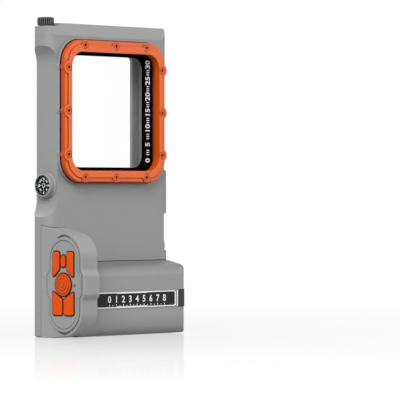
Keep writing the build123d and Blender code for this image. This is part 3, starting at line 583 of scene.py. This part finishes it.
def ladderTree(name, material):
    # bars in a row along x that start at y 0, with longer ones at regular places
    tree, size = newTree(name, {"Count": "Int", "Every": "Float", "Pitch": "Float", "Short": "Float",
                                "Long": "Float", "Bar Width": "Float", "Bar Depth": "Float"})
    step = addNode(tree, "ShaderNodeCombineXYZ", inputs={"X": size["Pitch"]})
    row = addNode(tree, "GeometryNodeMeshLine", {"mode": "OFFSET"},
                  {"Count": size["Count"], "Offset": step.outputs[0]})
    index = addNode(tree, "GeometryNodeInputIndex")
    turn = addNode(tree, "ShaderNodeMath", {"operation": "MODULO"}, {0: index.outputs[0], 1: size["Every"]})
    isLong = addNode(tree, "ShaderNodeMath", {"operation": "LESS_THAN"}, {0: turn.outputs[0], 1: 0.5})
    length = addNode(tree, "ShaderNodeMix", {"data_type": "FLOAT"}, {
        0: isLong.outputs[0], 2: size["Short"], 3: size["Long"]}).outputs[0]
    half = addNode(tree, "ShaderNodeMath", {"operation": "MULTIPLY"}, {0: length, 1: 0.5})
    lift = addNode(tree, "ShaderNodeCombineXYZ", inputs={"Y": half.outputs[0]})
    shifted = addNode(tree, "GeometryNodeSetPosition", inputs={
        "Geometry": row.outputs[0], "Offset": lift.outputs[0]})
    bulk = addNode(tree, "ShaderNodeCombineXYZ", inputs={
        "X": size["Bar Width"], "Y": length, "Z": size["Bar Depth"]})
    bar = addNode(tree, "GeometryNodeMeshCube", inputs={"Size": (1, 1, 1)})
    bars = addNode(tree, "GeometryNodeInstanceOnPoints", inputs={
        "Points": shifted.outputs[0], "Instance": bar.outputs[0], "Scale": bulk.outputs[0]})
    return closeTree(tree, bars.outputs[0], material)


def ladder(name, look, material):
    return growMesh(ladderTree(name, material),
                    {"Pitch": look["pitch"], "Short": look["short"], "Long": look["long"],
                     "Bar Width": look["width"], "Bar Depth": look["ink"]},
                    {"Count": look["count"], "Every": look["every"]})


# Depth scale on the window's border, with plain numbers
scaleSet = {
    "x": 37.2, "y": -11.0, "low": 121.5, "numberPitch": 11.2, "numbers": 7, "numberStep": 5, "numberSize": 6.2,
    "pitch": 1.5, "count": 3, "every": 1.0, "short": 2.6, "long": 2.6, "width": 0.6, "ink": 0.05,
}


def makeWindowScale():
    white = made["whiteInk"]
    place = facing("front", scaleSet["x"], scaleSet["y"], scaleSet["low"]) @ turned(90)
    ticks = ladder("windowTicks", scaleSet, white)
    marks = []
    for number in range(scaleSet["numbers"]):
        along = number * scaleSet["numberPitch"]
        mesh = inkText(str(scaleSet["numberStep"] * number), scaleSet["numberSize"], scaleSet["ink"], white)
        marks.append(moved(mesh, place @ turned(0, along)))
        if number + 1 < scaleSet["numbers"]:
            first = along + scaleSet["numberPitch"] / 2 - scaleSet["pitch"]
            marks.append(moved(ticks.copy(), place @ turned(0, first, -scaleSet["long"] / 2)))
    addPiece("windowScale", marks, "case")


# Plate on the grip bar: a stepped white line, a bar at its end, and a plain ruler
plateSet = {
    "left": -41.5, "right": 47.1, "low": 19.5, "high": 30.5, "face": -28.8,
    "line": 0.8, "lineWide": 1.15, "corner": 1.6, "innerShare": 0.6, "endCorner": 0.6, "innerEnd": 0.3, "ink": 0.08,
    "barLeft": 48.75, "barWidth": 0.75, "barDepth": 0.35, "barCorner": 0.2, "barSink": 0.5,
    "rulerLeft": -19.0, "pitch": 3.4, "count": 17, "every": 2.0, "short": 0.7, "long": 1.2, "width": 0.55,
    "numbers": 9, "numberSize": 6.4, "numberGap": 3.2, "rulerLow": 20.9,
}


def makePlateMarks():
    white, face, ink = made["whiteInk"], plateSet["face"], plateSet["ink"]
    left, right, low, high = (plateSet[key] for key in ("left", "right", "low", "high"))
    corner, thin, wide = (plateSet[key] for key in ("corner", "line", "lineWide"))
    end, innerEnd = plateSet["endCorner"], plateSet["innerEnd"]
    innerCorner = corner * plateSet["innerShare"]
    third = (right - left) / 3
    outer = roundedLoop([(left, low, end), (right, low, corner), (right, high, corner), (left, high, end)])
    inner = roundedLoop([
        (left + thin, low + thin, innerEnd), (left + third, low + thin, 0), (left + third, low + wide, 0),
        (left + 2 * third, low + wide, 0), (left + 2 * third, low + thin, 0),
        (right - wide, low + thin, innerCorner), (right - wide, high - thin, innerCorner),
        (left + 2 * third, high - thin, 0), (left + 2 * third, high - wide, 0), (left + third, high - wide, 0),
        (left + third, high - thin, 0), (left + thin, high - thin, innerEnd)])
    marks = [moved(flatSheet("plateLine", [outer, inner], ink, white), facing("front", 0, face, 0))]

    barLeft, barCorner = plateSet["barLeft"], plateSet["barCorner"]
    barRight = barLeft + plateSet["barWidth"]
    bar = roundedLoop([(barLeft, low, barCorner), (barRight, low, barCorner), (barRight, high, barCorner),
                       (barLeft, high, barCorner)])
    marks.append(moved(flatSheet("plateBar", [bar], plateSet["barDepth"], white),
                       facing("front", 0, face + plateSet["barSink"], 0)))

    ruler = facing("front", plateSet["rulerLeft"], face, plateSet["rulerLow"])
    marks.append(moved(ladder("plateTicks", plateSet, white), ruler))
    for number in range(plateSet["numbers"]):
        mesh = inkText(str(number), plateSet["numberSize"], ink, white)
        x = number * plateSet["every"] * plateSet["pitch"]
        marks.append(moved(mesh, ruler @ turned(0, x, plateSet["long"] + plateSet["numberGap"])))
    addPiece("plateMarks", marks, "case")


makeWindowScale()
makePlateMarks()
print("scales and plate marked")


# Black rubber lip round each key hole, partly painted shade: it darkens the gap round each key as shade would
lipSet = {"face": -58.6, "width": 0.75, "depth": 0.3, "inset": 0.02, "capDepth": 1.3, "sharpest": 0.5}


def hullOf(points):
    # the convex outline of points, anticlockwise
    points = sorted(set((round(x, 3), round(y, 3)) for x, y in points))

    def half(row):
        chain = []
        for p in row:
            while len(chain) > 1 and ((chain[-1][0] - chain[-2][0]) * (p[1] - chain[-2][1])
                                      - (chain[-1][1] - chain[-2][1]) * (p[0] - chain[-2][0])) <= 0:
                chain.pop()
            chain.append(p)
        return chain[:-1]

    return [Vector(p) for p in half(points) + half(points[::-1])]


def grownLoop(loop, width):
    # moves every point of a convex outline that runs anticlockwise outwards by width
    points = []
    for i, here in enumerate(loop):
        before = (here - loop[i - 1]).normalized()
        after = (loop[(i + 1) % len(loop)] - here).normalized()
        out = Vector((before.y + after.y, -before.x - after.x)).normalized()
        points.append(here + out * width / max(out.dot(Vector((before.y, -before.x))), lipSet["sharpest"]))
    return points


def makeKeyLips():
    lips = []
    for name in finishes["orangePolycarbonate"]:
        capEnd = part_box(name)[0].x + lipSet["capDepth"] * mm
        cap = [v.co for v in nodes[name].data.vertices if v.co.x < capEnd]
        outline = hullOf([(-p.y / mm, p.z / mm) for p in cap])
        loops = [grownLoop(outline, lipSet["width"]), grownLoop(outline, lipSet["inset"])]
        lip = flatSheet(name + "Lip", loops, lipSet["depth"], made["blackSilicone"])
        lips.append(moved(lip, facing("side", lipSet["face"], 0, 0)))
    addPiece("keyLips", lips, "case")


# Black rubber rim that shows under the lens frame, partly painted shade: a dark band for the shaded gap at the
# frame's edge; it reaches tuck under the frame's edge
rimSet = {"halfX": 49.8, "halfZ": 48.9, "corner": 16.5, "width": 0.55, "tuck": 0.3, "face": -12.3, "depth": 0.6,
          "lensHeight": 154.8, "steps": 12}


def makeFrameRim():
    rims = []
    for grow in (rimSet["width"], -rimSet["tuck"]):
        z = rimSet["halfZ"] + grow
        rims.append(boxLoop(rimSet["halfX"] + grow, -z, z, rimSet["corner"] + grow, rimSet["steps"]))
    rim = flatSheet("frameRim", rims, rimSet["depth"], made["blackSilicone"])
    addPiece("frameRim", [moved(rim, facing("front", 0, rimSet["face"], rimSet["lensHeight"]))], "case")


# Black liner of the compass pocket
linerSet = {"outer": 6.88, "inner": 6.7, "floor": -51.5, "depth": 2.6, "steps": 64}


def makeDialLiner():
    wall = flatRing("dialLiner", linerSet["outer"], linerSet["inner"], linerSet["steps"], linerSet["depth"],
                    made["blackInk"])
    moved(wall, facing("side", linerSet["floor"], dialSet["y"], dialSet["z"]))
    addPiece("dialLiner", [wall], "case")


makeKeyLips()
makeFrameRim()
makeDialLiner()
print("rubber trims made")


# Soft seals with rounded edges and a bead along the middle; they stand for the plain solids
sealSet = {
    "section": [(0, 0), (0, 0.6), (0.03, 0.9), (0.08, 1), (0.4, 1), (0.46, 0.94), (0.54, 0.94), (0.6, 1),
                (0.92, 1), (0.97, 0.9), (1, 0.6), (1, 0)],
    "seals": {
        "backSeal": {"node": "back_window_gasket", "body": "case", "place": ("back", 0, 7.82, 0), "thick": 0.44,
                     "outer": (46.1, 4.8, 202.2, 8.0), "inner": (38.5, 11.6, 195.0, 4.5)},
        "lensSeal": {"node": "lens_gasket", "body": "case", "place": ("front", 0, -7.92, 0), "thick": 0.41,
                     "outer": (43.9, 111.9, 197.7, 11.0), "inner": (40.5, 115.8, 193.8, 8.5)},
        "lidSeal": {"node": "lid_seal", "body": "lid", "place": ("under", 0, 0, 207.2), "thick": 1.2,
                    "outer": (47.0, -8.3, 9.8, 3.0), "inner": (45.2, -6.5, 8.0, 1.5)},
    },
}


def makeSeals():
    for name, look in sealSet["seals"].items():
        band = loopBand(name, boxLoop(*look["outer"]), boxLoop(*look["inner"]), sealSet["section"],
                        look["thick"], made["blackSilicone"])
        addPiece(name, [moved(band, facing(*look["place"]))], look["body"], [look["node"]])


# Painted shade: dark rings on the screw heads, for the shaded gap round each head
screwSet = {"rowX": 30.1, "rowZ": 45.3, "columnX": 45.9, "columnZ": 29.8, "height": 154.8, "face": -16.8,
            "inner": 1.9, "outer": 2.2, "depth": 0.05, "steps": 32}


def placesTree(material):
    # one ring on each place
    tree, size = newTree("screwRings", {"Places": "Object", "Ring": "Object"})
    places, ring = (addNode(tree, "GeometryNodeObjectInfo", inputs={"Object": size[label]}).outputs["Geometry"]
                    for label in ("Places", "Ring"))
    rings = addNode(tree, "GeometryNodeInstanceOnPoints", inputs={"Points": places, "Instance": ring})
    return closeTree(tree, rings.outputs[0], material)


def makeScrewRings():
    spots = [(x, z) for x in (-screwSet["rowX"], 0, screwSet["rowX"]) for z in (-screwSet["rowZ"], screwSet["rowZ"])]
    spots += [(x, z) for x in (-screwSet["columnX"], screwSet["columnX"])
              for z in (-screwSet["columnZ"], 0, screwSet["columnZ"])]
    field = bpy.data.meshes.new("screwPlaces")
    field.from_pydata([(x * mm, z * mm, 0) for x, z in spots], [], [])
    places = bpy.data.objects.new("screwPlaces", field)
    ink = made["darkOrangeInk"]
    ring = bpy.data.objects.new("screwRing", flatRing("screwRing", screwSet["outer"], screwSet["inner"],
                                                      screwSet["steps"], screwSet["depth"], ink))
    rings = growMesh(placesTree(ink), {}, {"Places": places, "Ring": ring})
    bpy.data.objects.remove(places)
    bpy.data.objects.remove(ring)
    addPiece("screwRings", [moved(rings, facing("front", 0, screwSet["face"], screwSet["height"]))],
             "case")


# Bead that seals the module's top edge against the body
beadSet = {"radius": 0.32, "tipRadius": 0.224, "tip": 0.1, "taper": 0.35, "left": -30.5, "right": 56.5,
           "y": -10.3, "z": 51.35, "steps": 12}


def makeSeamBead():
    radius, tipRadius, tip, taper = (beadSet[key] for key in ("radius", "tipRadius", "tip", "taper"))
    length = beadSet["right"] - beadSet["left"]
    profile = [(0, 0), (tipRadius, tip), (radius, taper), (radius, length - taper), (tipRadius, length - tip),
               (0, length)]
    bead = spun("seamBead", profile, beadSet["steps"], made["blackSilicone"])
    place = Matrix.Translation(Vector((beadSet["left"], beadSet["y"], beadSet["z"])) * mm)
    addPiece("seamBead", [moved(bead, place @ Matrix.Rotation(math.radians(90), 4, "Y"))], "case")


# Knob: painted shade, black bars that darken the grooves between the grips, which the CAD cuts only shallow
knobShadeSet = {"x": -52.0, "z": 215.95, "radius": 5.42, "count": 24, "length": 0.5, "width": 0.62, "depth": 4.3}


def makeKnobGrips():
    grips = barRing("knobGrips", knobShadeSet, knobShadeSet["depth"], made["blackInk"])
    place = Matrix.Translation(Vector((knobShadeSet["x"], 0, knobShadeSet["z"])) * mm)
    addPiece("knobGrips", [moved(grips, place)], "knob")


makeSeals()
makeScrewRings()
makeSeamBead()
makeKnobGrips()
print("seals, rings, bead and knob grooves made")


# Silicone pads: soft buttons with a dished top on a scalloped sheet
padSet = {
    "columns": 5, "rows": 2, "pitchX": 13.05, "pitchZ": 13.4, "sheet": 1.0, "discRadius": 5.7, "discSteps": 40,
    "face": -7.3,
    "pads": {"pad_upper_buttons": ("phone_pad_upper", 95.3), "pad_lower_buttons": ("phone_pad_lower", 50.8)},
    "button": [(0, -0.4), (5.0, -0.4), (5.0, 0.1), (4.9, 0.6), (4.65, 1.1), (4.2, 1.45), (3.6, 1.6), (3.0, 1.5),
               (2.5, 1.15), (2.2, 0.95), (1.6, 0.9), (0.8, 0.98), (0, 1.0)],
    "buttonSteps": 40,
}


def padTree(material):
    tree, size = newTree("padField", {"Columns": "Int", "Rows": "Int", "Length": "Float", "Height": "Float",
                                      "Strip Height": "Float", "Sheet": "Float", "Disc Radius": "Float",
                                      "Disc Steps": "Int", "Button": "Object"})
    grid = addNode(tree, "GeometryNodeMeshGrid", inputs={
        "Size X": size["Length"], "Size Y": size["Height"], "Vertices X": size["Columns"],
        "Vertices Y": size["Rows"]}).outputs[0]
    disc = addNode(tree, "GeometryNodeMeshCylinder", inputs={
        "Vertices": size["Disc Steps"], "Radius": size["Disc Radius"], "Depth": size["Sheet"]})
    discs = addNode(tree, "GeometryNodeInstanceOnPoints", inputs={"Points": grid, "Instance": disc.outputs[0]})
    realDiscs = addNode(tree, "GeometryNodeRealizeInstances", inputs={"Geometry": discs.outputs[0]})
    bulk = addNode(tree, "ShaderNodeCombineXYZ", inputs={
        "X": size["Length"], "Y": size["Strip Height"], "Z": size["Sheet"]})
    strip = addNode(tree, "GeometryNodeMeshCube", inputs={"Size": bulk.outputs[0]})
    union = addNode(tree, "GeometryNodeMeshBoolean", {"operation": "UNION"})
    for part in (realDiscs, strip):
        tree.links.new(part.outputs[0], union.inputs["Mesh 2"])
    half = addNode(tree, "ShaderNodeMath", {"operation": "MULTIPLY"}, {0: size["Sheet"], 1: 0.5})
    lift = addNode(tree, "ShaderNodeCombineXYZ", inputs={"Z": half.outputs[0]})
    sheet = addNode(tree, "GeometryNodeSetPosition", inputs={
        "Geometry": union.outputs[0], "Offset": lift.outputs[0]})
    button = addNode(tree, "GeometryNodeObjectInfo", inputs={"Object": size["Button"]})
    top = addNode(tree, "ShaderNodeCombineXYZ", inputs={"Z": size["Sheet"]})
    raised = addNode(tree, "GeometryNodeSetPosition", inputs={"Geometry": grid, "Offset": top.outputs[0]})
    buttons = addNode(tree, "GeometryNodeInstanceOnPoints", inputs={
        "Points": raised.outputs[0], "Instance": button.outputs["Geometry"]})
    whole = addNode(tree, "GeometryNodeJoinGeometry")
    for part in (buttons, sheet):
        tree.links.new(part.outputs[0], whole.inputs[0])
    return closeTree(tree, whole.outputs[0], material)


def makePads():
    rubber = made["blackSilicone"]
    button = bpy.data.objects.new("padButton", spun("padButton", padSet["button"], padSet["buttonSteps"], rubber))
    tree = padTree(rubber)
    columns, rows = padSet["columns"], padSet["rows"]
    lengths = {"Length": padSet["pitchX"] * (columns - 1), "Height": padSet["pitchZ"] * (rows - 1),
               "Strip Height": padSet["pitchZ"] * rows, "Sheet": padSet["sheet"],
               "Disc Radius": padSet["discRadius"]}
    others = {"Columns": columns, "Rows": rows, "Disc Steps": padSet["discSteps"], "Button": button}
    for name, (node, height) in padSet["pads"].items():
        pad = moved(growMesh(tree, lengths, others), facing("back", 0, padSet["face"], height))
        addPiece(name, [pad], "case", [node])
    bpy.data.objects.remove(button)


makePads()
print("pads made")


# Studio: white round the case, a pale floor that mirrors it faintly, three soft lamps and a soft sky
studio = {
    "floorHalf": 8.0, "floor": "#8E8E8E",  # all of the studio's lengths are in metres
    "mirror": 0.34, "mirrorBlur": 0.04, "mirrorFade": (0.08, 0.58),
    "whiteShare": 0.84, "whiteFade": (0.25, 0.7),
    "sky": 0.5,
    "lamps": {
        "key": {"place": (-1.2, -0.75, 1.2), "size": 1.0, "watts": 25.0},
        "frontRight": {"place": (1.15, -1.3, 0.82), "size": 0.8, "watts": 6.0},
        "back": {"place": (0.7, 1.7, 0.9), "size": 1.1, "watts": 13.0},
    },
}


def seenDirect(tree):
    # 1 for a ray that comes from the camera, straight or by a mirror or a clear sheet
    path = addNode(tree, "ShaderNodeLightPath").outputs
    seen = path["Is Camera Ray"]
    for ray in ("Is Glossy Ray", "Is Transmission Ray"):
        seen = addNode(tree, "ShaderNodeMath", {"operation": "MAXIMUM"}, {0: seen, 1: path[ray]}).outputs[0]
    return seen


def floorPaint():
    # Matt paper that the camera sees as white, under a faint sheen that fades with the distance.
    material, tree, place = newMaterial("palePaper")
    seen = seenDirect(tree)
    colour = addNode(tree, "ShaderNodeMix", {"data_type": "RGBA"}, {
        0: seen, 6: toLinear(studio["floor"]), 7: toLinear("#FFFFFF")})
    matt = addNode(tree, "ShaderNodeBsdfDiffuse", inputs={"Color": colour.outputs[2]})
    away = addNode(tree, "ShaderNodeVectorMath", {"operation": "LENGTH"}, {0: place}).outputs["Value"]
    fades = ((studio["whiteFade"], studio["whiteShare"], 1.0), (studio["mirrorFade"], studio["mirror"], 0.0))
    share, sheen = (
        addNode(tree, "ShaderNodeMapRange", inputs={
            "Value": away, "From Min": near, "From Max": far, "To Min": first, "To Max": last}).outputs[0]
        for (near, far), first, last in fades)
    whiteness = addNode(tree, "ShaderNodeMath", {"operation": "MULTIPLY"}, {0: share, 1: seen})
    white = addNode(tree, "ShaderNodeEmission", inputs={"Strength": 1.0})
    paper = addNode(tree, "ShaderNodeMixShader", inputs={
        0: whiteness.outputs[0], 1: matt.outputs[0], 2: white.outputs[0]})
    mirror = addNode(tree, "ShaderNodeBsdfGlossy", inputs={"Roughness": studio["mirrorBlur"]})
    closeMaterial(tree, "ShaderNodeMixShader", {0: sheen, 1: paper.outputs[0], 2: mirror.outputs[0]})
    return material


def makeStudio():
    world = bpy.data.worlds.new("studioWorld")
    bpy.context.scene.world = world
    world.use_nodes = True
    tree = world.node_tree
    tree.nodes.clear()
    strength = addNode(tree, "ShaderNodeMapRange", inputs={
        "Value": seenDirect(tree), "To Min": studio["sky"], "To Max": 1.0})
    sky = addNode(tree, "ShaderNodeBackground", inputs={
        "Color": (1, 1, 1, 1), "Strength": strength.outputs[0]})
    addNode(tree, "ShaderNodeOutputWorld", inputs={"Surface": sky.outputs[0]})

    half = studio["floorHalf"]
    mesh = bpy.data.meshes.new("studioFloor")
    mesh.from_pydata([(-half, -half, 0), (half, -half, 0), (half, half, 0), (-half, half, 0)], [], [(0, 1, 2, 3)])
    mesh.materials.append(floorPaint())
    floor = bpy.data.objects.new("studioFloor", mesh)
    bpy.context.scene.collection.objects.link(floor)

    middle = (cadBox[0] + cadBox[1]) / 2
    for name, lamp in studio["lamps"].items():
        data = bpy.data.lights.new(name, "AREA")
        data.size = lamp["size"]
        data.energy = lamp["watts"]
        light = bpy.data.objects.new(name, data)
        light.location = lamp["place"]
        light.rotation_euler = (middle - light.location).to_track_quat("-Z", "Y").to_euler()
        bpy.context.scene.collection.objects.link(light)


makeStudio()
bpy.context.scene.view_settings.view_transform = "Standard"
print("studio lit")
